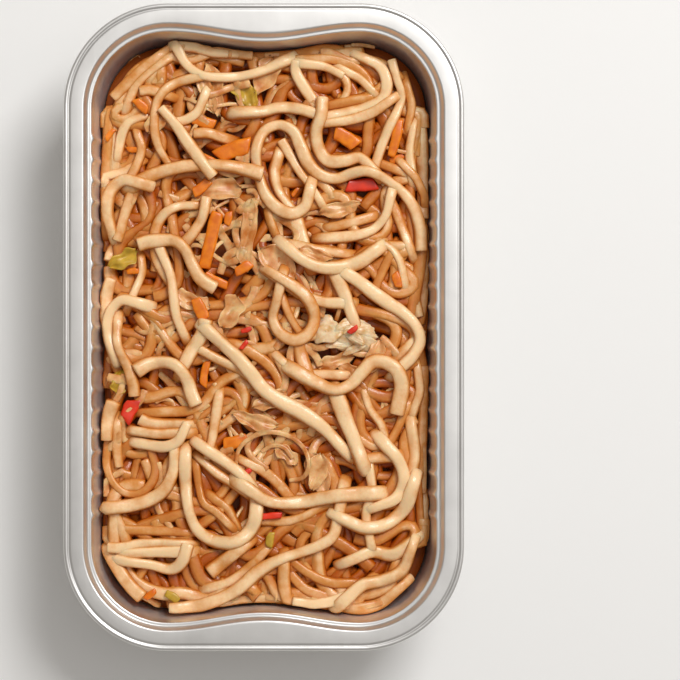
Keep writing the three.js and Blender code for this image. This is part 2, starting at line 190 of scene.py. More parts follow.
# Cooked wheat noodle in a thin oily sauce: creamy and slightly see-through on top, browner down its
# sides and in the dips of the heap, partly sauce that has soaked in and partly painted shade
def saucedNoodle():
    made, tree = newMaterial("cooked wheat noodle, oiled")
    place = addNode(tree, "ShaderNodeTexCoord")
    # per-point share of sauce and painted shade: more in the heap's dips and further down a strand's sides
    sauceAndShade = addNode(tree, "ShaderNodeAttribute", {"attribute_name": "sauceAndShade"})
    patch = addNode(tree, "ShaderNodeTexNoise", {"Scale": 1 / (6 * mm), "Detail": 4.0, "Roughness": 0.6},
                    {"Vector": (place, "Object")})
    grain = addNode(tree, "ShaderNodeTexNoise", {"Scale": 1 / (0.8 * mm), "Detail": 2.0},
                    {"Vector": (place, "Object")})
    spread = addNode(tree, "ShaderNodeMapRange", {1: 0.3, 2: 0.7, 3: -0.12, 4: 0.12}, {0: (patch, 0)})
    share = addNode(tree, "ShaderNodeMath", {"operation": "ADD", "use_clamp": True},
                    {0: (spread, 0), 1: (sauceAndShade, "Fac")})
    # from the noodle's pale cream to the dark brown of sauce and painted shade
    stops = ((0.0, "#FCD4A2"), (0.26, "#DC9348"), (0.58, "#BA5C0A"), (1.0, "#9C3C00"))
    tint = addRamp(tree, stops, (share, 0))
    wet = addNode(tree, "ShaderNodeMapRange", {1: 0.3, 2: 0.7, 3: 0.24, 4: 0.46}, {0: (patch, 0)})
    bump = addNode(tree, "ShaderNodeBump", {"Strength": 0.35, "Distance": 0.3 * mm}, {"Height": (grain, 0)})
    shader = addNode(tree, "ShaderNodeBsdfPrincipled",
                     {"Subsurface Weight": 0.28, "Subsurface Radius": (1.0, 0.6, 0.35),
                      "Subsurface Scale": 1.0 * mm, "Coat Weight": 0.3, "Coat Roughness": 0.12, "IOR": 1.36},
                     {"Base Color": (tint, 0), "Roughness": (wet, 0), "Normal": (bump, 0)})
    addNode(tree, "ShaderNodeOutputMaterial", None, {"Surface": (shader, 0)})
    return made


# Cooked vegetable, cut and oiled: two tones that run in short fibres, moist gloss, a little light inside
def cutVegetable(name, light, dark, fibre, glow):
    made, tree = newMaterial(name)
    place = addNode(tree, "ShaderNodeTexCoord")
    blotch = addNode(tree, "ShaderNodeTexNoise", {"Scale": 1 / (fibre * mm), "Detail": 4.0},
                     {"Vector": (place, "Object")})
    spread = addNode(tree, "ShaderNodeMapRange", {1: 0.32, 2: 0.68}, {0: (blotch, 0)})
    tint = addNode(tree, "ShaderNodeMix", {"data_type": "RGBA", 6: linear(light), 7: linear(dark)},
                   {0: (spread, 0)})
    bump = addNode(tree, "ShaderNodeBump", {"Strength": 0.25, "Distance": 0.3 * mm}, {"Height": (blotch, 0)})
    shader = addNode(tree, "ShaderNodeBsdfPrincipled",
                     {"Roughness": 0.34, "Subsurface Weight": glow, "Subsurface Radius": (1.0, 0.5, 0.25),
                      "Subsurface Scale": 1.2 * mm, "Coat Weight": 0.2, "Coat Roughness": 0.15,
                      "IOR": 1.40},
                     {"Base Color": (tint, 2), "Normal": (bump, 0)})
    addNode(tree, "ShaderNodeOutputMaterial", None, {"Surface": (shader, 0)})
    return made


# Brown sauce between the strands: dark, smooth and wet
def brownSauce():
    made, tree = newMaterial("brown sauce, reduced")
    place = addNode(tree, "ShaderNodeTexCoord")
    cloud = addNode(tree, "ShaderNodeTexNoise", {"Scale": 1 / (8 * mm), "Detail": 3.0},
                    {"Vector": (place, "Object")})
    tint = addNode(tree, "ShaderNodeMix",
                   {"data_type": "RGBA", 6: linear("#863A0C"), 7: linear("#A6541A")}, {0: (cloud, 0)})
    shader = addNode(tree, "ShaderNodeBsdfPrincipled", {"Roughness": 0.45, "IOR": 1.3},
                     {"Base Color": (tint, 2)})
    addNode(tree, "ShaderNodeOutputMaterial", None, {"Surface": (shader, 0)})
    return made


# Painted studio board under the tray: matt and almost white
def paintedBoard():
    made, tree = newMaterial("painted studio board")
    shader = addNode(tree, "ShaderNodeBsdfPrincipled", {"Base Color": linear("#F4F3F1"), "Roughness": 0.8})
    addNode(tree, "ShaderNodeOutputMaterial", None, {"Surface": (shader, 0)})
    return made


foil = rolledFoil()
noodle = saucedNoodle()
sauce = brownSauce()
carrot = cutVegetable("carrot, cut and cooked", "#F28A14", "#DA6A0A", 2.5, 0.25)
pepper = cutVegetable("red pepper, cut and cooked", "#F0401F", "#CB2A12", 4.0, 0.15)
leek = cutVegetable("leek, cut and cooked", "#D8AE3C", "#AC8620", 3.0, 0.25)
cabbage = cutVegetable("white cabbage, shredded and cooked", "#F4C488", "#C87832", 4.0, 0.35)
chicken = cutVegetable("chicken, cooked and flaked", "#F6DEB8", "#DBA868", 2.2, 0.3)
print("materials ready")


# Tray

tray = {
    "corner": 34.0,       # outer corner radius in plan
    "bow": 3.3,           # how far the short walls curve in
    "ribPitch": 6.8, "ribCount": 19, "ribDepth": 1.0, "ribHalf": 1.05,
    "foil": 0.28,         # sheet, a little stouter than the real foil so that its edge shows
    "beadRadius": 0.85,   # rolled edge
    "flange": 6.5, "ledge": 7.75, "wall": 9.0, "foot": 13.9,  # distances in from the outer edge
    "ledgeDrop": 2.1,     # the lid's seat lies this far under the flange
    # the wall runs from its knee up to its shoulder: height over the floor or drop from the flange, distance
    # further in than the wall's top, and at the knee shares of rib and bow
    "kneeHeight": 7.0, "kneeIn": 3.9, "kneeRib": 0.1, "kneeBow": 0.6,
    "shoulderDrop": 4.0, "shoulderIn": 0.32,
    "wrinkle": 0.07,      # draw marks in the corners
}
trayLow, trayHigh = [np.array(corner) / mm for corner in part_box("tray")]
trayHalf = (trayHigh - trayLow)[:2] / 2
trayTop = trayHigh[2] - 0.1


# polyline with its corners rounded: each corner is a quadratic curve between points at its radius
# on both legs
def roundedLine(points, radii, steps):
    points = np.array(points, float)
    rows = [points[:1]]
    t = np.linspace(0, 1, steps)[:, None]
    for before, corner, after, radius in zip(points, points[1:], points[2:], radii):
        start = corner + (before - corner) * min(0.5, radius / np.linalg.norm((before - corner)[:2]))
        end = corner + (after - corner) * min(0.5, radius / np.linalg.norm((after - corner)[:2]))
        rows.append((1 - t) ** 2 * start + 2 * t * (1 - t) * corner + t ** 2 * end)
    rows.append(points[-1:])
    return np.concatenate(rows)


# stations round the tray: a point of the inner rectangle, the way out from it, and shares of bow,
# rib and corner
def trayStations(perRib=12, perCorner=44, perEnd=64):
    half = trayHalf - tray["corner"]
    run = tray["ribPitch"] * tray["ribCount"] / 2
    y = np.concatenate([[-half[1]], np.linspace(-run, run, perRib * tray["ribCount"]), [half[1]]])[1:-1]
    nearest = (y + run) % tray["ribPitch"] - tray["ribPitch"] / 2
    rib = np.exp(-(nearest / tray["ribHalf"]) ** 2)
    side = np.stack([np.full_like(y, half[0]), y, np.ones_like(y), 0 * y, 0 * y, rib, 0 * y], -1)
    a = np.linspace(0, np.pi / 2, perCorner)
    turn = np.stack([np.full_like(a, half[0]), np.full_like(a, half[1]), np.cos(a), np.sin(a), 0 * a, 0 * a,
                     np.sin(2 * a)], -1)
    x = np.linspace(half[0], -half[0], perEnd)[1:-1]
    bow = 0.5 + 0.5 * np.cos(np.pi * x / half[0])
    end = np.stack([x, np.full_like(x, half[1]), 0 * x, np.ones_like(x), bow, 0 * x, 0 * x], -1)
    flipX = np.array([-1, 1, -1, 1, 1, 1, 1])
    right = side[len(side) // 2:]
    upper = np.concatenate([right, turn, end, (turn * flipX)[::-1], (right * flipX)[::-1]])
    lower = upper * np.array([-1, -1, -1, -1, 1, 1, 1])
    return np.concatenate([upper, lower])


# tray skin: each row of the section is carried round the stations at its distance in from the outer edge,
# less the bow, the ribs and the corner wrinkles at that row's share
def traySkin():
    t, f, top = tray["foil"], tray, trayTop
    ledge = top - f["ledgeDrop"]
    knee = (f["wall"] + f["kneeIn"], f["kneeHeight"], f["kneeBow"], f["kneeRib"])
    shoulder = (f["wall"] + f["shoulderIn"], top - f["shoulderDrop"], 1, 1)
    neck = (f["wall"] + 0.1, ledge - 0.9, 1, 0.9)
    sheet = np.array([t, 0, 0, 0])
    bead = np.linspace(math.radians(140), math.radians(-200), 22)
    curl = np.stack([f["beadRadius"] * (1 - np.cos(bead)),
                     top + 0.1 + f["beadRadius"] * (np.sin(bead) - 1)], -1)
    # rows: distance in, height, share of the bow, share of the ribs
    inside = roundedLine(
        [(f["foot"] + 9, t, 0.5, 0), (f["foot"], t, 0.5, 0), knee, shoulder, neck, (f["wall"], ledge, 1, 0.3),
         (f["ledge"], ledge, 1, 0), (f["flange"], top, 1, 0), (2.3, top, 0, 0), (1.75, top - 0.3, 0, 0)],
        [4.2, 2.0, 3.0, 0.3, 0.5, 0.35, 0.45, 0.3], 6)
    outside = roundedLine(
        [(1.9, top - 0.55, 0, 0), (2.4, top - t, 0, 0), (f["flange"] - 0.1, top - t, 1, 0),
         (f["ledge"] - 0.15, ledge - t, 1, 0), (f["wall"] - t, ledge - t, 1, 0.3), neck - sheet,
         shoulder - sheet, knee - sheet, (f["foot"] - t, 0, 0.5, 0), (f["foot"] + 9, 0, 0.5, 0)],
        [0.3, 0.55, 0.4, 0.45, 0.3, 3.0, 2.0, 4.4], 6)
    curl = np.concatenate([curl, np.zeros_like(curl)], -1)
    rows = np.concatenate([inside, curl, outside])
    s = trayStations()
    angle = np.arctan2(s[:, 3], s[:, 2])
    wrinkle = tray["wrinkle"] * s[:, 6] * np.sin(46 * angle + 1.3 * np.sin(9 * angle))
    depth = np.clip((top - rows[:, 1]) / 6, 0, 1)[:, None]
    reach = (tray["corner"] - rows[:, :1] - tray["bow"] * rows[:, 2:3] * s[:, 4]
             - tray["ribDepth"] * rows[:, 3:4] * s[:, 5] - wrinkle * depth)
    points = np.stack([s[:, 0] + s[:, 2] * reach, s[:, 1] + s[:, 3] * reach,
                       np.broadcast_to(rows[:, 1:2], reach.shape)], -1)
    count = len(s)
    flat = np.concatenate([points.reshape(-1, 3), [[0, 0, t], [0, 0, 0]]])
    return flat, [gridFaces(len(rows), count), endFans(len(flat), len(rows), count)]


trayPiece = makePiece("foilTray", *traySkin(), foil)
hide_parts("tray")


# Camera, straight above, where the photograph's middle is

camera = {
    "above": 900.0,          # from the rim
    "x": 24.7, "y": -4.2,    # the picture's middle, from the tray's middle
    "pixelsPerMm": 3.086,    # at the rim, in a picture 680 pixels wide
    "picture": 680,
}
lens = bpy.data.cameras.new("camera")
lens.sensor_width = 36.0
lens.lens = lens.sensor_width * camera["above"] * camera["pixelsPerMm"] / camera["picture"]
cameraObject = bpy.data.objects.new("camera", lens)
cameraObject.location = (camera["x"] * mm, camera["y"] * mm, (trayTop + camera["above"]) * mm)
bpy.context.scene.collection.objects.link(cameraObject)
bpy.context.scene.camera = cameraObject


# places in the tray, at the food's level, of points given in the photograph's pixels
def fromPhoto(points, level=31.0):
    points = np.array(points, float)
    scale = camera["pixelsPerMm"] * camera["above"] / (camera["above"] + trayTop - level)
    middle = camera["picture"] / 2
    return np.stack([camera["x"] + (points[..., 0] - middle) / scale,
                     camera["y"] - (points[..., 1] - middle) / scale], -1)


# Noodles

heap = {
    "seed": 11,
    "edgeLevel": 20.5, "crown": 2.0,     # top of the sauce at the walls, and its rise in the middle
    "sideGap": 11.0,                     # from the tray's outer edge to the strands' outer edge
    "cornerGap": 4.2,                    # more than that in the corners, which the food doesn't fill
    "cell": 0.5,                         # of the height map that strands are laid on
    "step": 0.75,                        # between points of a strand while it is laid
    "flat": 0.84,                        # a strand's height over its width
    "steepest": 0.55, "sink": 0.8,       # slope of a strand over a dip, and how far strands press together
    # a layer's strands are pressed flatter near its lid
    "lids": {"buried": 26.4, "filler": 28.4, "low": 29.2, "middle": 31.0, "top": 32.6},
    "give": 3.0,                         # height over which that pressing starts
    "tones": {"buried": (0.0, 0.32), "filler": (-0.02, 0.28), "low": (-0.04, 0.24), "middle": (-0.08, 0.18),
              "top": (-0.1, 0.12)},       # sauce and random tone of a layer's strands, raised for the lower layers as painted shade
    "byWall": (30, 12),                  # strands along the walls, below and above the buried ones
    "wallInset": (12.8, 17.5), "wallLength": (30, 70),
    "fillers": 34,                       # random strands as high as the low ones
    "buried": 120, "buriedLength": (55, 120), "buriedWidth": (3.2, 4.4), "tries": 10,
    # how high a topping counts as a hill for strands that look for low ground
    "hills": {"wall": 10, "buried": 4, "filler": 60},
}
rng = np.random.default_rng(heap["seed"])
reliefLow = -trayHalf
reliefShape = np.ceil(2 * trayHalf / heap["cell"]).astype(int)
cellLines = [reliefLow[k] + (np.arange(reliefShape[k]) + 0.5) * heap["cell"] for k in (0, 1)]
cellX, cellY = np.meshgrid(*cellLines, indexing="ij")


# cells of the height map that hold points in plan
def cellsAt(x, y):
    i = np.clip(((x - reliefLow[0]) / heap["cell"]).astype(int), 0, reliefShape[0] - 1)
    j = np.clip(((y - reliefLow[1]) / heap["cell"]).astype(int), 0, reliefShape[1] - 1)
    return i, j


# level of the sauce: highest in the middle, falling to the walls, with low swells
def sauceLevel(x, y):
    u, v = x / (trayHalf[0] - 10), y / (trayHalf[1] - 10)
    dome = np.clip(1 - np.abs(u) ** 3, 0, 1) * np.clip(1 - np.abs(v) ** 4, 0, 1)
    return heap["edgeLevel"] + heap["crown"] * dome + 0.5 * np.sin(x / 11 + 1) * np.cos(y / 17)


relief = sauceLevel(cellX, cellY)


# Toppings, each where its node is; the random strands keep off these places

topping = {
    "play": (-0.4, 2.0),  # how far a piece may sink or rise from its node to lie on the strands
    "clear": 1.2,         # room that random strands leave round it
    "lift": {"leek": 0.8, "pepper": 0.5},  # kinds that lie on the strands rather than between them
    "kinds": {"carrot": carrot, "pepper": pepper, "leek": leek, "cabbage": cabbage, "chicken": chicken},
    "above": 0.35,        # share of its thickness by which a piece's middle lies above the ground
    "leafThick": 1.0,
    # flakes of the chicken: place in shares of its half length and width, rise, size, turn in degrees
    "flakes": [
        ((-0.62, 0.1), 0.0, (9.5, 9.0, 4.6), 20),
        ((-0.1, -0.2), -0.1, (11.0, 7.5, 4.4), -15),
        ((0.3, 0.3), 0.0, (11.5, 6.5, 4.4), 12),
        ((0.55, -0.25), -0.1, (9.5, 5.5, 3.8), -30),
        ((0.0, 0.45), 0.1, (9.0, 4.6, 3.2), 35),
        ((0.62, 0.2), 0.12, (8.0, 3.2, 2.4), -10),
        ((-0.3, -0.5), 0.05, (8.0, 3.6, 2.6), 8),
        ((0.2, -0.05), 0.25, (8.5, 3.4, 2.4), -22),
        ((0.35, -0.6), 0.0, (8.5, 2.6, 1.8), 30),
    ],
}


# middle, heading and sizes of a node: the heading is the main axis of its points in plan
def nodeForm(name):
    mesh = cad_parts[name].data
    points = np.empty(3 * len(mesh.vertices))
    mesh.vertices.foreach_get("co", points)
    points = points.reshape(-1, 3) / mm
    flat = points[:, :2] - points[:, :2].mean(0)
    axis = np.linalg.svd(flat, full_matrices=False)[2][0]
    side = np.array([-axis[1], axis[0]])
    turned = flat @ np.array([axis, side]).T
    low, high = turned.min(0), turned.max(0)
    middle = points[:, :2].mean(0) + axis * (low + high)[0] / 2 + side * (low + high)[1] / 2
    z = points[:, 2]
    return np.array([*middle, (z.min() + z.max()) / 2]), axis, high - low, z.max() - z.min()


toppingNames = [name for name in sorted(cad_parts) if name.split("_")[0] in topping["kinds"]]
toppingForms = {name: nodeForm(name) for name in toppingNames}
taken = np.zeros(relief.shape)  # 1 where a topping lies
for middle, axis, (length, width), _ in toppingForms.values():
    u = (cellX - middle[0]) * axis[0] + (cellY - middle[1]) * axis[1]
    v = (cellY - middle[1]) * axis[0] - (cellX - middle[0]) * axis[1]
    taken[(np.abs(u) < length / 2 + topping["clear"]) & (np.abs(v) < width / 2 + topping["clear"])] = 1


# smooth path through points: Catmull-Rom cubics, then points at even steps of length
def smoothPath(points, step):
    p = np.concatenate([[2 * points[0] - points[1]], points, [2 * points[-1] - points[-2]]])
    t = np.linspace(0, 1, 16, endpoint=False)[:, None, None]
    a, b, c, d = p[:-3], p[1:-2], p[2:-1], p[3:]
    curve = 0.5 * (2 * b + (c - a) * t + (2 * a - 5 * b + 4 * c - d) * t ** 2
                   + (3 * b - a - 3 * c + d) * t ** 3)
    curve = np.concatenate([curve.transpose(1, 0, 2).reshape(-1, points.shape[1]), points[-1:]])
    return evenly(curve, step)


# points at even steps along a line, read off between its own points by length
def evenly(curve, step):
    length = np.concatenate([[0], np.cumsum(np.linalg.norm(np.diff(curve, axis=0), axis=1))])
    s = np.linspace(0, length[-1], max(4, int(length[-1] / step) + 1))
    return np.stack([np.interp(s, length, curve[:, k]) for k in range(curve.shape[1])], -1)


# running average with bell weights, ends held
def soften(values, width):
    if width < 0.5:
        return values
    reach = int(3 * width) + 1
    bell = np.exp(-0.5 * (np.arange(-reach, reach + 1) / width) ** 2)
    padded = np.concatenate([np.full(reach, values[0]), values, np.full(reach, values[-1])])
    return np.convolve(padded, bell / bell.sum(), "valid")


# cells under a strand at each point of its plan, and the rise of its half-round skin over its middle there
def underStrand(plan, halfWide, halfHigh):
    reach = int(halfWide / heap["cell"]) + 1
    o = np.arange(-reach, reach + 1)
    at = np.floor((plan - reliefLow) / heap["cell"]).astype(int)
    i = np.clip(at[:, 0, None, None] + o[None, :, None], 0, reliefShape[0] - 1)
    j = np.clip(at[:, 1, None, None] + o[None, None, :], 0, reliefShape[1] - 1)
    off = (cellX[i, j] - plan[:, 0, None, None]) ** 2 + (cellY[i, j] - plan[:, 1, None, None]) ** 2
    bulge = 1 - off / halfWide ** 2
    return i, j, np.where(bulge > 0, halfHigh * np.sqrt(np.clip(bulge, 0, 1)), -1e3)


# heights of a strand's middle: it rests on what is under it and on its own earlier turns,
# bridges dips at no more than the steepest slope, is pressed down near the lid, and is then softened
def settle(plan, halfWide, halfHigh, lid):
    i, j, rise = underStrand(plan, halfWide, halfHigh)
    rest = (relief[i, j] + rise).max((1, 2)) - heap["sink"]
    n = np.arange(len(plan))
    gap = np.linalg.norm(plan[:, None] - plan[None], axis=2)
    earlier = (n[:, None] - n[None]) * heap["step"] > 4 * halfWide
    over = np.sqrt(np.clip(1 - (gap / (2 * halfWide)) ** 2, 0, 1)) * 2 * halfHigh
    for _ in range(2):
        own = np.where(earlier & (gap < 2 * halfWide), rest[None] + over, -1e3).max(1)
        rest = np.maximum(rest, own)
    slope = heap["steepest"] * heap["step"] * np.abs(n[:, None] - n[None])
    rest = (rest[None] - slope).max(1)
    start = lid - heap["give"]
    pressed = lid - heap["give"] * np.exp(-np.clip(rest - start, 0, None) / heap["give"])
    return soften(np.where(rest > start, pressed, rest), 1.6 / heap["step"])


# raises the height map to a strand's upper skin
def stamp(plan, heights, halfWide, halfHigh):
    i, j, rise = underStrand(plan, halfWide, halfHigh)
    np.maximum.at(relief, (i, j), heights[:, None, None] + rise)


# closed tube: a rounded-square section carried along a path, a little uneven in width, slowly twisted,
# its ends cut; also gives how far down the side of the strand each point is, 0 on top to 1 at its edge
def strandShell(path, halfWide, halfHigh, sides, random, square=3.0, twisting=0.3):
    along = np.gradient(path, axis=0)
    along /= np.linalg.norm(along, axis=1, keepdims=True)
    across = np.cross([0, 0, 1.0], along)
    across /= np.linalg.norm(across, axis=1, keepdims=True)
    up = np.cross(along, across)
    s = np.concatenate([[0], np.cumsum(np.linalg.norm(np.diff(path, axis=0), axis=1))])
    phase = random.uniform(0, 2 * np.pi, 5)
    wide = halfWide * (1 + 0.10 * np.sin(s / 9 + phase[0]) + 0.05 * np.sin(s / 3.7 + phase[1]))
    high = halfHigh * (1 - 0.07 * np.sin(s / 9 + phase[0]) + 0.06 * np.sin(s / 5 + phase[2]))
    twist = twisting * (np.sin(s / 17 + phase[3]) + 0.5 * np.sin(s / 7 + phase[4]))
    angle = 2 * np.pi * np.arange(sides) / sides
    ring = squaredRing(angle, square)
    a = wide[:, None] * (ring[:, 0] * np.cos(twist)[:, None] - ring[:, 1] * np.sin(twist)[:, None])
    b = high[:, None] * (ring[:, 0] * np.sin(twist)[:, None] + ring[:, 1] * np.cos(twist)[:, None])
    body = path[:, None] + a[..., None] * across[:, None] + b[..., None] * up[:, None]
    # each end: two smaller rings just beyond the last one, then a point
    cut = ((0.34, 0.6), (0.22, 0.9))  # distance out and share of the section
    first = [path[0] - along[0] * out + (body[0] - path[0]) * share for out, share in cut]
    last = [path[-1] + along[-1] * out + (body[-1] - path[-1]) * share for out, share in cut[::-1]]
    rows = np.concatenate([np.stack(first), body, np.stack(last)])
    ends = np.stack([path[0] - along[0] * 0.37, path[-1] + along[-1] * 0.37])
    points = np.concatenate([rows.reshape(-1, 3), ends])
    # share down the side, 0 on top to 1 at the edge, which sets the painted shade of the strand's sides
    down = np.clip(1 - b / high[:, None], 0, 1)
    down = np.concatenate([down[:1], down[:1], down, down[-1:], down[-1:]]).ravel()
    faces = [gridFaces(len(rows), sides), endFans(len(points), len(rows), sides)]
    return points, faces, np.concatenate([down, [0.2, 0.2]])


# lays one strand: settles it, marks the height map, and keeps its path
def layStrand(plan, width, lid):
    halfWide, halfHigh = width / 2, width / 2 * heap["flat"]
    heights = settle(plan, halfWide, halfHigh, lid)
    stamp(plan, heights, halfWide, halfHigh)
    return np.concatenate([plan, heights[:, None]], 1)


# share of the short walls' bow at places across the tray: 1 in the middle, falling as a cosine to 0
# at the corners
def bowAt(x):
    half = trayHalf[0] - tray["corner"]
    return 0.5 + 0.5 * np.cos(np.pi * np.clip(x / half, -1, 1))


# presses points that lie past the tray's inner wall back to it: the wall stands further in lower down,
# at the ribs of the long sides and at the bow of the short ones, and is round in the corners
def pressedIn(points, clear=0.12):
    x, y, z = points.T
    knee, shoulder = tray["kneeHeight"], trayTop - tray["shoulderDrop"]
    rise = np.clip((z - knee) / (shoulder - knee), 0, 1)
    inset = tray["wall"] + tray["kneeIn"] - (tray["kneeIn"] - tray["shoulderIn"]) * rise + clear
    ribShare = tray["kneeRib"] + (1 - tray["kneeRib"]) * rise
    bowShare = tray["kneeBow"] + (1 - tray["kneeBow"]) * rise
    run = tray["ribPitch"] * tray["ribCount"] / 2
    nearest = (y + run) % tray["ribPitch"] - tray["ribPitch"] / 2
    rib = np.where(np.abs(y) < run, np.exp(-(nearest / tray["ribHalf"]) ** 2), 0) * ribShare
    middle = trayHalf - tray["corner"]
    out = np.stack([np.abs(x) - middle[0], np.abs(y) - middle[1]], -1)
    far = np.linalg.norm(np.clip(out, 1e-6, None), axis=1)
    pull = np.where(out.min(1) > 0, np.minimum(1, (tray["corner"] - inset) / far), 1)
    wide = np.minimum(np.abs(x), trayHalf[0] - inset - tray["ribDepth"] * rib)
    long = np.minimum(np.abs(y), trayHalf[1] - inset - tray["bow"] * bowShare * bowAt(x))
    wide = np.where(out.min(1) > 0, middle[0] + out[:, 0] * pull, wide)
    long = np.where(out.min(1) > 0, middle[1] + out[:, 1] * pull, long)
    return np.stack([np.sign(x) * wide, np.sign(y) * long, z], -1)


# keeps a plan inside the tray's rounded rectangle: points past it are brought back to its edge
def keptInside(plan, halfWide, cornerGap=0.0):
    bow = tray["bow"] * bowAt(plan[:, 0])
    half = trayHalf - heap["sideGap"] - halfWide - np.stack([0 * bow, bow], -1)
    plan = np.clip(plan, -half, half)
    middle = trayHalf - tray["corner"]
    out = np.clip(np.abs(plan) - middle, 0, None)
    far = np.linalg.norm(out, axis=1, keepdims=True)
    room = tray["corner"] - heap["sideGap"] - halfWide - cornerGap
    pull = np.where((out.min(1, keepdims=True) > 0) & (far > room), room / np.maximum(far, 1e-6), 1)
    return np.where(out > 0, np.sign(plan) * (middle + out * pull), plan)


# folds a plan back at the walls, as a wave that runs between them, and softens it so that the folds
# are loops
def foldedPlan(plan, halfWide):
    half = trayHalf - heap["sideGap"] - halfWide
    plan = half * (np.abs((plan / half - 1) % 4 - 2) - 1)
    plan = np.stack([soften(plan[:, k], 4.5 / heap["step"]) for k in (0, 1)], -1)
    return keptInside(plan, halfWide, heap["cornerGap"])


# wandering plan: its heading is a sum of slow sines of the length
def wanderingPlan(length):
    s = np.arange(0, length, heap["step"])
    heading = rng.uniform(0, 2 * np.pi) + sum(
        size * np.sin(2 * np.pi * s / wave + rng.uniform(0, 2 * np.pi))
        for size, wave in ((0.9, rng.uniform(40, 70)), (0.5, rng.uniform(22, 34))))
    start = rng.uniform(-1, 1, 2) * (trayHalf - 18)
    return start + np.cumsum(np.stack([np.cos(heading), np.sin(heading)], -1), 0) * heap["step"]


# mean height of the ground along a plan, where a topping counts as a hill of a given height
def groundAlong(plan, hill):
    i, j = cellsAt(plan[:, 0], plan[:, 1])
    return (relief[i, j] + hill * taken[i, j]).mean()


# mean and highest level of the height map where food can lie
def reportHeap(stage, count):
    cells = np.stack([cellX.ravel(), cellY.ravel()], -1)
    inside = np.abs(keptInside(cells, 0) - cells).max(1).reshape(relief.shape) < 0.1
    levels = relief[inside]
    print("%s: %d, heap %.1f mm on average, %.1f at most" % (stage, count, levels.mean(), levels.max()))


# plan along the walls: a stretch of the tray's outline, moved in by an inset that swings slowly
def wallPlan(length):
    s = np.roll(trayStations(3, 12, 16), -rng.integers(200), axis=0)
    low, high = heap["wallInset"]
    swing = 0.5 + 0.5 * np.sin(np.arange(len(s)) * rng.uniform(0.08, 0.2) + rng.uniform(0, 6))
    reach = tray["corner"] - (low + (high - low) * swing) - tray["bow"] * s[:, 4]
    outline = np.stack([s[:, 0] + s[:, 2] * reach, s[:, 1] + s[:, 3] * reach], -1)
    plan = evenly(outline, heap["step"])[:int(length / heap["step"])]
    return np.stack([soften(plan[:, k], 3 / heap["step"]) for k in (0, 1)], -1)


strands = []  # (path, width, layer)


# strands along the walls, each on the lowest ground that several plans find
def layByWall(count):
    for _ in range(count):
        width = rng.uniform(*heap["buriedWidth"])
        plans = [wallPlan(rng.uniform(*heap["wallLength"])) for _ in range(heap["tries"])]
        plan = min(plans, key=lambda p: groundAlong(p, heap["hills"]["wall"]))
        plan = keptInside(plan, width / 2, heap["cornerGap"])
        strands.append((layStrand(plan, width, heap["lids"]["buried"]), width, "buried"))


# random strands, each on the lowest ground that several plans find
def layRandom(count, layer):
    for _ in range(count):
        width = rng.uniform(*heap["buriedWidth"])
        length = rng.uniform(*heap["buriedLength"])
        folded = [foldedPlan(wanderingPlan(length), width / 2) for _ in range(heap["tries"])]
        plans = [evenly(plan, heap["step"]) for plan in folded]
        plan = min(plans, key=lambda p: groundAlong(p, heap["hills"][layer]))
        strands.append((layStrand(plan, width, heap["lids"][layer]), width, layer))


layByWall(heap["byWall"][0])
layRandom(heap["buried"], "buried")
layByWall(heap["byWall"][1])
layRandom(heap["fillers"], "filler")
reportHeap("buried strands", len(strands))

# Strands that show, in the order they lie: width in mm, then its first and last end ("c" cut and in
# sight, "-" hidden under others), then its path in the photograph's pixels
lowStrands = [
    (3.4, "c-", [(172, 44), (184, 43), (198, 48), (212, 52), (226, 53)]),
    (3.4, "c-", [(113, 97), (125, 85), (140, 70), (156, 57)]),
    (3.4, "--", [(128, 102), (134, 88), (145, 75), (162, 62)]),
    (3.2, "--", [(118, 150), (121, 135), (128, 122), (142, 116)]),
    (3.2, "--", [(303, 58), (330, 58), (352, 64), (366, 76), (371, 90)]),
    (3.2, "--", [(332, 104), (350, 100), (368, 97)]),
    (3.0, "--", [(408, 88), (412, 105), (409, 122)]),
    (3.2, "--", [(413, 130), (410, 150), (412, 172)]),
    (3.2, "--", [(404, 165), (416, 178), (425, 196)]),
    (3.4, "--", [(335, 226), (352, 222), (370, 217)]),
    (3.2, "--", [(390, 200), (397, 214), (403, 230), (409, 246)]),
    (3.2, "--", [(372, 90), (360, 78), (345, 70)]),
    (3.4, "--", [(105, 195), (98, 205), (99, 222)]),
    (3.4, "--", [(96, 178), (110, 175), (122, 172), (131, 167)]),
    (3.2, "--", [(140, 260), (141, 272), (136, 286), (131, 298)]),
    (3.4, "--", [(145, 413), (165, 412), (188, 411), (203, 404), (213, 392), (223, 381), (236, 375)]),
    (3.0, "--", [(107, 447), (106, 465), (112, 482), (124, 493), (138, 494), (150, 485), (155, 470),
                 (152, 455)]),
    (3.4, "c-", [(125, 530), (150, 531), (182, 533)]),
    (3.4, "--", [(115, 512), (114, 528), (114, 545)]),
    (3.2, "--", [(215, 500), (227, 509), (235, 523)]),
    (3.4, "--", [(212, 588), (230, 582), (250, 567), (264, 553)]),
    (3.4, "--", [(293, 578), (305, 590), (322, 597)]),
    (3.6, "--", [(295, 564), (311, 575), (330, 583), (352, 584)]),
    (3.4, "--", [(262, 521), (285, 522), (305, 516), (322, 507), (336, 502)]),
    (3.2, "--", [(330, 470), (335, 485), (333, 505)]),
    (3.2, "--", [(405, 410), (398, 428), (390, 442)]),
    (3.2, "--", [(418, 372), (420, 392), (414, 410)]),
    (3.2, "--", [(365, 395), (370, 410), (381, 425), (384, 440), (374, 447), (360, 440)]),
    (3.2, "--", [(392, 362), (402, 353), (411, 344)]),
    (3.2, "--", [(391, 254), (383, 270), (377, 285)]),
    (3.2, "--", [(383, 243), (392, 249), (400, 262), (404, 280)]),
    (3.8, "--", [(412, 430), (415, 455), (410, 480)]),
    (3.6, "--", [(360, 610), (380, 604), (398, 590)]),
]
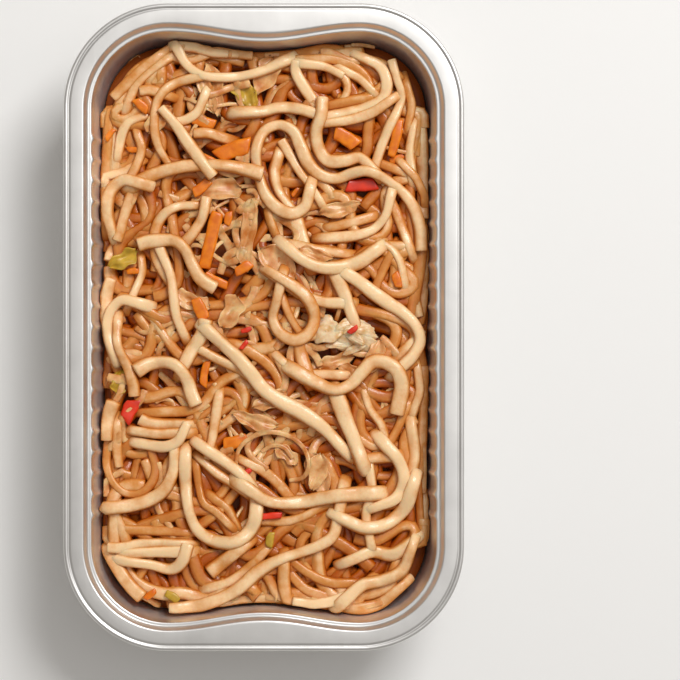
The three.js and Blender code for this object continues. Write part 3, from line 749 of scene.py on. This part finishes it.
middleStrands = [
    (3.4, "--", [(178, 50), (184, 61), (193, 70), (206, 76), (226, 77), (250, 74), (268, 68), (281, 62)]),
    (3.2, "c-", [(140, 91), (150, 90), (161, 93)]),
    (3.0, "--", [(196, 77), (178, 81), (165, 89), (157, 100), (154, 115), (155, 135), (160, 150), (168, 163)]),
    (3.2, "--", [(137, 134), (141, 148), (137, 163), (131, 176)]),
    (3.0, "--", [(203, 98), (197, 111), (186, 119), (176, 121)]),
    (3.8, "c-", [(194, 133), (208, 133), (222, 137)]),
    (3.6, "c-", [(296, 60), (296, 72), (305, 88), (316, 104)]),
    (3.2, "-c", [(305, 63), (325, 66), (343, 75)]),
    (3.4, "--", [(365, 58), (380, 66), (387, 82), (383, 98), (368, 106), (350, 111), (332, 115)]),
    (3.2, "--", [(330, 122), (350, 119), (372, 112), (389, 101)]),
    (3.2, "c-", [(392, 60), (397, 78), (402, 95), (397, 112), (389, 128), (381, 148), (376, 163)]),
    (3.4, "--", [(277, 158), (274, 172), (278, 190), (290, 207)]),
    (3.2, "c-", [(281, 140), (290, 155), (300, 172), (310, 185), (317, 196)]),
    (3.8, "-c", [(133, 190), (125, 210), (120, 228), (116, 240)]),
    (3.2, "--", [(190, 205), (178, 206), (166, 212), (158, 222), (154, 238), (155, 255), (160, 268),
                 (167, 279)]),
    (3.6, "--", [(160, 250), (170, 275), (173, 295), (176, 315), (182, 330)]),
    (3.8, "c-", [(110, 279), (106, 292), (102, 309)]),
    (3.6, "--", [(205, 352), (220, 360), (238, 368), (246, 374)]),
    (3.2, "--", [(218, 400), (215, 420), (212, 438), (209, 450)]),
    (3.2, "-c", [(116, 430), (116, 450), (118, 467)]),
    (3.8, "c-", [(140, 419), (152, 424), (180, 425)]),
    (3.8, "--", [(140, 432), (158, 434), (180, 433)]),
    (3.6, "--", [(203, 462), (217, 474), (232, 483), (243, 491)]),
    (3.0, "--", [(196, 470), (199, 490), (204, 504), (216, 512), (227, 523)]),
    (3.6, "c-", [(108, 548), (122, 548), (140, 544), (165, 543), (180, 544)]),
    (3.8, "--", [(133, 553), (155, 552), (180, 552)]),
    (4.4, "-c", [(240, 549), (223, 562), (209, 573)]),
    (3.4, "--", [(247, 463), (262, 471), (275, 481), (287, 495)]),
    (4.0, "--", [(284, 568), (284, 585), (287, 602)]),
    (3.8, "c-", [(352, 460), (370, 459), (390, 457)]),
    (4.6, "--", [(338, 278), (345, 295), (352, 315)]),
    (4.4, "--", [(298, 226), (302, 240), (307, 256)]),
    (3.6, "--", [(298, 247), (318, 251), (338, 253)]),
    (3.6, "--", [(330, 238), (352, 236), (372, 230), (385, 216), (390, 199)]),
    (3.8, "--", [(272, 275), (288, 286), (305, 296), (325, 302), (340, 303)]),
    (3.4, "--", [(283, 362), (293, 370), (310, 374), (336, 375)]),
    (3.0, "--", [(282, 297), (289, 315), (299, 332)]),
    (4.2, "--", [(299, 345), (301, 357), (306, 372)]),
    (3.6, "--", [(370, 470), (372, 492), (366, 515), (370, 540)]),
    (3.8, "--", [(352, 560), (372, 552), (392, 555), (408, 545)]),
]
topStrands = [
    (4.2, "--", [(245, 112), (262, 111), (280, 107), (298, 108), (315, 113)]),
    (4.0, "c-", [(322, 98), (321, 115), (316, 130), (318, 147), (328, 160), (345, 160), (360, 157),
                 (371, 167)]),
    (3.8, "-c", [(309, 193), (305, 206), (293, 213), (278, 208), (266, 195), (259, 175), (256, 152), (263, 132),
                 (278, 124), (293, 130), (301, 146), (308, 162), (320, 174), (336, 178), (352, 173), (368, 171),
                 (386, 179), (403, 192), (414, 208), (420, 228), (421, 250)]),
    (4.4, "-c", [(138, 182), (150, 175), (165, 170), (185, 166), (210, 165), (235, 167), (262, 174)]),
    (3.6, "cc", [(161, 108), (175, 124), (190, 145), (203, 163), (213, 176)]),
    (3.8, "--", [(136, 182), (124, 180), (113, 187), (108, 198), (107, 212), (110, 226)]),
    (4.0, "c-", [(206, 198), (203, 215), (195, 230), (186, 241)]),
    (4.4, "cc", [(138, 244), (150, 241), (172, 240), (184, 248), (192, 264), (201, 279), (215, 288)]),
    (4.0, "--", [(137, 303), (123, 300), (112, 308), (107, 320), (108, 335), (112, 349)]),
    (4.2, "c-", [(206, 320), (202, 335), (192, 350), (184, 365)]),
    (3.6, "-c", [(117, 325), (117, 342), (122, 356), (129, 370), (133, 385), (134, 396)]),
    (4.6, "cc", [(136, 371), (148, 364), (165, 362), (178, 367), (187, 380), (191, 393), (196, 405)]),
    (4.4, "cc", [(113, 402), (108, 418), (106, 440)]),
    (4.2, "--", [(110, 508), (130, 506), (150, 500), (165, 489), (173, 472), (174, 455)]),
    (3.8, "-c", [(142, 444), (163, 447), (178, 441), (187, 424)]),
    (4.2, "--", [(185, 462), (185, 480), (187, 500), (190, 515), (197, 530), (212, 541), (232, 543), (247, 535),
                 (255, 520), (256, 500), (250, 485), (238, 472), (222, 460), (207, 450)]),
    (3.8, "-c", [(131, 562), (150, 565), (170, 570), (182, 562), (188, 545)]),
    (4.2, "-c", [(113, 561), (122, 575), (132, 588), (142, 597)]),
    (4.0, "c-", [(170, 614), (185, 611), (200, 606), (220, 599), (240, 588), (258, 572), (280, 560), (300, 553),
                 (320, 545), (333, 535), (338, 515), (342, 495)]),
    (4.6, "--", [(246, 487), (270, 502), (300, 503), (325, 498), (345, 495), (368, 494)]),
    (3.4, "c-", [(293, 606), (315, 604), (335, 601), (352, 594), (368, 583)]),
    (4.6, "--", [(212, 334), (225, 346), (238, 358), (250, 372), (262, 388), (278, 400), (300, 412), (322, 427),
                 (343, 449)]),
    (4.8, "--", [(338, 398), (345, 418), (353, 438), (360, 457)]),
    (4.4, "--", [(290, 250), (303, 260), (320, 267), (340, 267), (358, 262), (373, 252)]),
    (4.2, "--", [(350, 276), (358, 281), (372, 292), (388, 303), (402, 312), (415, 325), (420, 340), (413, 355),
                 (401, 367)]),
    (3.8, "--", [(281, 283), (277, 300), (273, 318), (280, 333), (296, 340), (310, 331), (314, 315), (307, 298),
                 (293, 286), (277, 276)]),
    (4.6, "-c", [(298, 373), (318, 384), (335, 390), (350, 385), (362, 372), (372, 362), (385, 362), (397, 370),
                 (402, 385), (400, 400), (397, 414)]),
    (4.0, "--", [(385, 445), (398, 460), (404, 480), (396, 498), (378, 506)]),
    (4.2, "--", [(345, 520), (365, 528), (388, 524), (405, 508), (412, 488)]),
    (4.0, "--", [(345, 600), (362, 585), (384, 580), (402, 570), (410, 552)]),
]


# lays a strand given in pixels; a hidden end runs on some way and dives under what lies there
def layShown(layer, width, ends, pixels, runOn=5.0, dive=3.0):
    plan = keptInside(smoothPath(fromPhoto(pixels), heap["step"]), width / 2)
    path = layStrand(plan, width, heap["lids"][layer])
    s = np.arange(heap["step"], runOn + heap["step"], heap["step"])[:, None]
    fall = dive * (s / runOn) ** 2 * [0, 0, -1]
    if ends[1] == "-":
        ahead = path[-1] - path[-3]
        path = np.concatenate([path, path[-1] + s * ahead / np.linalg.norm(ahead) + fall])
    if ends[0] == "-":
        back = path[0] - path[2]
        path = np.concatenate([(path[0] + s * back / np.linalg.norm(back) + fall)[::-1], path])
    path[:, :2] = keptInside(path[:, :2], width / 2)
    strands.append((path, width, layer))


for row in lowStrands:
    layShown("low", *row)
reportHeap("low strands", len(lowStrands))


# Toppings, laid on the low strands

# support under a piece that lies along an axis: the level that a given share of its cells stay under
def groundUnder(middle, axis, length, width, share=0.8):
    u = np.linspace(-0.4, 0.4, 9)[:, None] * length
    v = np.linspace(-0.4, 0.4, 5)[None, :] * width
    x = middle[0] + u * axis[0] - v * axis[1]
    y = middle[1] + u * axis[1] + v * axis[0]
    return np.quantile(relief[cellsAt(x, y)], share)


# cut piece: a squared section carried along a line that bends as a square, the ends closed by smaller rings
def cutShell(middle, axis, length, width, thick, random, sides=20, rows=24, bend=0.06, square=4.5, taper=0.15):
    t = np.linspace(-1, 1, rows)
    across = np.array([-axis[1], axis[0], 0])
    along = np.array([axis[0], axis[1], 0])
    up = np.array([0, 0, 1.0])
    sway = random.uniform(-1, 1, 4)
    aside = bend * length * sway[0] * (t ** 2 - 0.4)
    lift = bend * length * 0.5 * sway[1] * (t ** 2 - 0.4) + 0.02 * length * sway[2] * t
    line = middle + along * (t * length / 2)[:, None] + across * aside[:, None] + up * lift[:, None]
    angle = 2 * np.pi * (np.arange(sides) + 0.5) / sides
    ring = squaredRing(angle, square)
    wave = 0.05 * np.sin(3 * t + 3 * sway[3]) + 0.03 * np.sin(7 * t + sway[1])
    wide = width / 2 * (1 - taper * np.abs(t) ** 3 + wave)
    high = thick / 2 * (1 - 0.5 * taper * np.abs(t) ** 3 + 0.06 * np.sin(4 * t + 2 * sway[0]))
    slant = 0.25 * width * sway[2] * np.sign(t) * np.abs(t) ** 8  # ends cut at a slant
    a, b = ring[:, 0] * wide[:, None], ring[:, 1] * high[:, None]
    body = (line[:, None] + a[..., None] * across + b[..., None] * up
            + (ring[:, 0] * slant[:, None])[..., None] * along)
    cut = ((0.3, 0.5), (0.2, 0.86))  # distance out and share of the section
    first = [line[0] - along * out + (body[0] - line[0]) * share for out, share in cut]
    last = [line[-1] + along * out + (body[-1] - line[-1]) * share for out, share in cut[::-1]]
    stack = np.concatenate([np.stack(first), body, np.stack(last)])
    ends = np.stack([line[0] - along * 0.32, line[-1] + along * 0.32])
    points = np.concatenate([stack.reshape(-1, 3), ends])
    return points, [gridFaces(len(stack), sides), endFans(len(points), len(stack), sides)], {}


# puts points of a piece's own frame where it lies, turned to its axis in plan
def placed(local, middle, axis):
    return np.stack([middle[0] + local[:, 0] * axis[0] - local[:, 1] * axis[1],
                     middle[1] + local[:, 0] * axis[1] + local[:, 1] * axis[0], middle[2] + local[:, 2]], -1)


# leaf: a thin sheet on a grid of length and breadth with a ragged outline, crumpled by crossing sines,
# its upper and lower faces joined round the edge
def leafShell(middle, axis, length, width, thick, random, rows=40, columns=17):
    t = np.linspace(-1, 1, rows)[:, None]
    u = np.linspace(-1, 1, columns)[None]
    f = random.uniform(0, 2 * np.pi, 8)
    breadth = width / 2 * (0.84 + 0.13 * np.sin(2.3 * t + f[0]) + 0.08 * np.sin(7 * t + f[1]))
    breadth = breadth * np.clip(1.1 - np.abs(t) ** (5 + 2 * np.sin(f[2])), 0.3, 1)
    x = t * length / 2 * (1 + 0.07 * np.sin(5 * u + f[3]) * np.abs(t)) + 0 * u
    y = u * breadth + 0.06 * length * np.sin(1.6 * t + f[4])
    z = (0.9 * (u ** 2 - 0.4) * width * 0.16 + 0.15 * np.sin(6.5 * u + 2.2 * t + f[5])
         + 0.35 * np.sin(4.5 * t + 1.5 * u + f[6]) + 0.04 * np.sin(12 * u + 7 * t + f[7]))
    edge = (thick / 2 * (1 - np.abs(u) ** 6 * 0.7) * (1 - np.abs(t) ** 8 * 0.6))
    sheet = np.stack([np.concatenate([x, x[:, ::-1]], 1), np.concatenate([y, y[:, ::-1]], 1),
                      np.concatenate([z + edge, (z - edge)[:, ::-1]], 1)], -1)
    tips = np.stack([sheet[0].mean(0), sheet[-1].mean(0)])
    local = np.concatenate([sheet.reshape(-1, 3), tips])
    points = placed(local, middle, axis)
    sides = 2 * columns
    return points, [gridFaces(rows, sides), endFans(len(points), rows, sides)], {}


# flake: an ellipsoid on a grid of latitude and longitude, its radius made uneven by sines of the direction,
# with fibres that run along it
def flakeShell(middle, axis, size, random, rows=34, sides=48):
    v = np.linspace(-np.pi / 2, np.pi / 2, rows + 2)[1:-1, None]
    u = 2 * np.pi * np.arange(sides)[None] / sides
    ways = np.stack([np.cos(v) * np.cos(u), np.cos(v) * np.sin(u), np.sin(v) + 0 * u], -1)
    k = random.normal(0, 2.2, (6, 3))
    uneven = 1 + 0.09 * sum(np.sin(ways @ k[i] + i) for i in range(6))
    uneven = uneven + 0.045 * np.sin(14 * ways[..., 1] + 2 * np.sin(3 * ways[..., 0])) * np.cos(v)
    tip = np.array([[0, 0, -1.0], [0, 0, 1.0]])
    local = np.concatenate([(ways * uneven[..., None]).reshape(-1, 3), tip]) * np.array(size) / 2
    tilt = random.uniform(-0.35, 0.35, 2)
    local[:, 2] += tilt[0] * local[:, 0] + tilt[1] * local[:, 1] + 0.3 * local[:, 1] ** 2 / size[1]
    points = placed(local, middle, axis)
    return points, [gridFaces(rows, sides), endFans(len(points), rows, sides)], {}


# raises the height map to a piece's points
def stampPoints(points):
    np.maximum.at(relief, cellsAt(points[:, 0], points[:, 1]), points[:, 2])


# unit vector in plan at an angle
def headingAt(angle):
    return np.array([math.cos(angle), math.sin(angle)])


for name, (middle, axis, (length, width), thick) in toppingForms.items():
    kind = name.split("_")[0]
    ground = groundUnder(middle, axis, length, width)
    rest = ground + thick * topping["above"] + topping["lift"].get(kind, 0)
    middle = middle + [0, 0, np.clip(rest - middle[2], *topping["play"])]
    if kind == "chicken":
        shells = []
        lie = math.atan2(axis[1], axis[0])
        for share, rise, size, turn in topping["flakes"]:
            off = np.array([[*(np.array(share) * [length, width] / 2), rise * thick]])
            spot = placed(off, middle, axis)[0]
            shells.append(flakeShell(spot, headingAt(lie + math.radians(turn)), size, rng))
        shell = joinShells(shells)
    elif kind in ("leek", "cabbage"):
        shell = leafShell(middle, axis, length, width, topping["leafThick"], rng)
    else:
        shell = cutShell(middle, axis, length, width, thick, rng)
    stampPoints(shell[0])
    piece = makePiece(name + "_cooked", pressedIn(shell[0]), shell[1], topping["kinds"][kind])
    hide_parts(name)
print("toppings: %d" % len(toppingForms))


# Shreds of cabbage and onion between the strands: thin, curved, most of them in the middle of the tray

shred = {
    "under": 120, "over": 46,                 # laid before and after the middle strands
    "length": (7, 22), "width": (1.0, 2.8), "flat": 0.36,
    "spread": (0.42, 0.5), "edge": 14,        # they scatter over shares of the tray's half sizes less its edge
    "about": (-4, 8), "lid": 31.5,            # where they gather, and the height they stay under
    "turn": 0.14, "sway": 0.5,                # radians a millimetre, and radians to and fro
    "leafThick": 0.8, "lift": 0.4,            # of the open leaves, and how far they and the rings lie up
}
shreds = []


# curved strips: the heading of each turns evenly along its length and sways as a sine
def layShreds(count):
    for _ in range(count):
        width, length = rng.uniform(*shred["width"]), rng.uniform(*shred["length"])
        s = np.arange(0, length, heap["step"])
        heading = rng.uniform(0, 2 * np.pi) + rng.normal(0, shred["turn"]) * s
        heading = heading + shred["sway"] * np.sin(s / 3.5 + rng.uniform(0, 6))
        middle = rng.normal(0, 1, 2) * np.array(shred["spread"]) * (trayHalf - shred["edge"]) + shred["about"]
        plan = middle + np.cumsum(np.stack([np.cos(heading), np.sin(heading)], -1), 0) * heap["step"]
        plan = keptInside(plan, width)
        heights = settle(plan, width / 2, width / 2 * shred["flat"], shred["lid"])
        stamp(plan, heights, width / 2, width / 2 * shred["flat"])
        shreds.append((np.concatenate([plan, heights[:, None]], 1), width))


# Leaves of cabbage that lie open, below and above the middle strands: middle in the photograph's pixels,
# heading in degrees, length and width in mm; then rings of onion: width in mm and path in pixels
leavesUnder = [
    ((264, 74), 70, 13, 8), ((216, 192), 8, 16, 8), ((230, 312), 60, 11, 8), ((205, 92), -62, 14, 6),
    ((340, 208), 20, 13, 6), ((160, 120), 50, 11, 6), ((192, 300), -20, 12, 7), ((270, 400), 30, 12, 6),
    ((336, 361), 10, 12, 6), ((352, 372), -30, 9, 5),
]
leavesOver = [
    ((278, 264), -35, 15, 10), ((316, 254), -8, 11, 5), ((373, 357), 70, 12, 6), ((286, 456), -40, 9, 6),
    ((316, 472), 75, 12, 7), ((255, 420), -10, 15, 6),
]
onionRings = [
    (1.5, [(236, 464), (239, 449), (252, 437), (270, 432), (290, 437), (304, 449), (309, 465), (303, 478),
           (290, 481)]),
    (1.3, [(262, 452), (272, 446), (284, 448), (292, 458)]),
]
leaves = []


# leaves, each a little above the ground where it lies
def layLeaves(rows):
    for pixel, turn, length, width in rows:
        axis = headingAt(math.radians(turn))
        spot = fromPhoto([pixel])[0]
        level = groundUnder(spot, axis, length, width) + shred["lift"]
        leaves.append(leafShell(np.array([*spot, level]), axis, length, width, shred["leafThick"], rng))
        stampPoints(leaves[-1][0])


layShreds(shred["under"])
layLeaves(leavesUnder)
for row in middleStrands:
    layShown("middle", *row)
reportHeap("middle strands", len(middleStrands))
layShreds(shred["over"])
layLeaves(leavesOver)
for width, pixels in onionRings:
    plan = smoothPath(fromPhoto(pixels), heap["step"])
    heights = settle(plan, width / 2, width / 2, shred["lid"]) + shred["lift"]
    stamp(plan, heights, width / 2, width / 2)
    shreds.append((np.concatenate([plan, heights[:, None]], 1), width))
print("loose leaves: %d, onion rings: %d" % (len(leaves), len(onionRings)))


# Small bits between the strands, by kind: middle in the photograph's pixels, length in mm

smallBits = {
    "thick": 1.8, "slim": (0.45, 0.65), "lift": 0.3,  # width as a share of length, and rise above the ground
    "places": {
        "carrot": [((109, 134), 4.0), ((132, 149), 3.5), ((132, 271), 3.5), ((295, 191), 3.2),
                   ((397, 158), 4.5), ((397, 280), 4.5), ((228, 218), 4.0), ((201, 187), 6.0),
                   ((200, 309), 7.0), ((243, 268), 5.5), ((141, 105), 5.0), ((150, 595), 4.0)],
        "pepper": [((353, 330), 3.2), ((246, 472), 3.0), ((246, 330), 3.0), ((244, 345), 3.0)],
        "leek": [((172, 597), 4.5), ((270, 540), 4.5)],
    },
}
for kind, places in smallBits["places"].items():
    shells = []
    for pixel, length in places:
        axis = headingAt(rng.uniform(0, np.pi))
        spot = fromPhoto([pixel])[0]
        level = groundUnder(spot, axis, length, length / 2) + smallBits["lift"]
        width = length * rng.uniform(*smallBits["slim"])
        middle = np.array([*spot, level])
        shells.append(cutShell(middle, axis, length, width, smallBits["thick"], rng, sides=16, rows=12))
        stampPoints(shells[-1][0])
    points, faces, _ = joinShells(shells)
    piece = makePiece(kind + "Bits", pressedIn(points), faces, topping["kinds"][kind])
    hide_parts("noodles")

for row in topStrands:
    layShown("top", *row)
reportHeap("top strands", len(topStrands))


# field averaged over a width in millimetres, with bell weights along both axes
def averaged(field, width):
    for axis in (0, 1):
        field = np.apply_along_axis(soften, axis, field, width / heap["cell"])
    return field


sauceAndShadeMarks = {
    "near": 5.0,                  # the heap's local top is its mean level over this many millimetres
    "above": 1.2, "depth": 5.0,   # strands darken with sauce and painted shade from this far above that top, fully so this much deeper
    "deep": 0.55, "side": 0.46,   # darkening at full depth, and at a strand's edge: sauce and painted shade both
}
localTop = averaged(relief, sauceAndShadeMarks["near"])


# strands as one piece: each path resampled, given its section, and browned by how deep it lies and how far
# down its side a point is, partly sauce and partly painted shade, and by its own tone
def strandPiece(name, chosen, sides, step):
    shells = []
    for path, width, layer in chosen:
        halfHigh = width / 2 * heap["flat"]
        points, faces, down = strandShell(evenly(path, step), width / 2, halfHigh, sides, rng)
        points = pressedIn(points)
        top = localTop[cellsAt(points[:, 0], points[:, 1])] + sauceAndShadeMarks["above"]
        # painted shade and pooled sauce in the heap's dips: the deeper under the local top, the browner
        deep = np.clip((top - points[:, 2]) / sauceAndShadeMarks["depth"], 0, 1)
        tone = rng.uniform(*heap["tones"][layer])
        # dip darkening, plus painted shade down the strand's side with some sauce, plus the layer's tone
        sauceAndShade = sauceAndShadeMarks["deep"] * deep + sauceAndShadeMarks["side"] * down + tone
        shells.append((points, faces, {"sauceAndShade": sauceAndShade}))
    points, faces, values = joinShells(shells)
    piece = makePiece(name, points, faces, noodle, values)
    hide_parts("noodles")


shells = []
for path, width in shreds:
    halfHigh = width / 2 * shred["flat"]
    points, faces, _ = strandShell(evenly(path, 1.0), width / 2, halfHigh, 10, rng, square=2.4, twisting=0.6)
    shells.append((points, faces, {}))
points, faces, _ = joinShells(shells + leaves)
piece = makePiece("cabbageShreds", pressedIn(points), faces, cabbage)
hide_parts("noodles")

below = ("buried", "filler")
strandPiece("noodlesBelow", [row for row in strands if row[2] in below], 10, 1.8)
strandPiece("noodlesOnTop", [row for row in strands if row[2] not in below], 18, 1.0)


# bed of sauce: the tray's outline shrunk to its middle in rings at the sauce's level, then down the wall
# and closed
def sauceBed(rings=36):
    s = trayStations(3, 12, 16)
    edge = heap["edgeLevel"]
    # height, and distance in from the tray's outer edge
    insets = [(edge, 12.0), (edge - 4, 12.6), (12.0, 14.0), (6.0, 16.4), (3.0, 19.0)]

    def outline(inset):
        reach = tray["corner"] - inset - tray["bow"] * s[:, 4]
        return np.stack([s[:, 0] + s[:, 2] * reach, s[:, 1] + s[:, 3] * reach], -1)

    top = outline(insets[0][1])[None] * np.linspace(0.03, 1, rings)[:, None, None]
    upper = np.concatenate([top, sauceLevel(top[..., 0], top[..., 1])[..., None]], -1)
    sides = [np.concatenate([outline(inset), np.full((len(s), 1), z)], 1) for z, inset in insets[1:]]
    ends = [[0, 0, sauceLevel(0, 0)], [0, 0, insets[-1][0]]]
    points = np.concatenate([upper.reshape(-1, 3), *sides, ends])
    rows = rings + len(insets) - 1
    return points, [gridFaces(rows, len(s)), endFans(len(points), rows, len(s))]


bed = makePiece("sauceBed", *sauceBed(), sauce)
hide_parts("noodles")


# Floor and light

studio = {
    "floor": 3.0,                        # metres across
    "panelAt": (0.35, 0.29, 1.35), "panelSize": 1.2, "panelPower": 2.75,
    "keyFrom": (0.55, 0.75, 1.15), "keySize": 0.6, "keyPower": 14.6,
    "sky": "#FFFAF4", "skyStrength": 0.32,
}
half = studio["floor"] / 2
board = bpy.data.meshes.new("floor")
corners = [(-half, -half, 0), (half, -half, 0), (half, half, 0), (-half, half, 0)]
board.from_pydata(corners, [], [(0, 1, 2, 3)])
board.materials.append(paintedBoard())
floor = bpy.data.objects.new("floor", board)
bpy.context.scene.collection.objects.link(floor)


# square light that looks at the tray's middle
def addPanel(name, place, size, power):
    light = bpy.data.lights.new(name, "AREA")
    light.shape = "SQUARE"
    light.size = size
    light.energy = power
    panel = bpy.data.objects.new(name, light)
    way = np.array(place) - [0, 0, 0.03]
    panel.location = place
    panel.rotation_euler = (0, math.acos(way[2] / np.linalg.norm(way)), math.atan2(way[1], way[0]))
    bpy.context.scene.collection.objects.link(panel)


addPanel("overheadPanel", studio["panelAt"], studio["panelSize"], studio["panelPower"])
addPanel("keyPanel", studio["keyFrom"], studio["keySize"], studio["keyPower"])
sky = bpy.data.worlds.new("studio")
sky.use_nodes = True
sky.node_tree.nodes["Background"].inputs["Color"].default_value = linear(studio["sky"])
sky.node_tree.nodes["Background"].inputs["Strength"].default_value = studio["skyStrength"]
bpy.context.scene.world = sky
bpy.context.scene.view_settings.view_transform = "Standard"
print("studio ready")
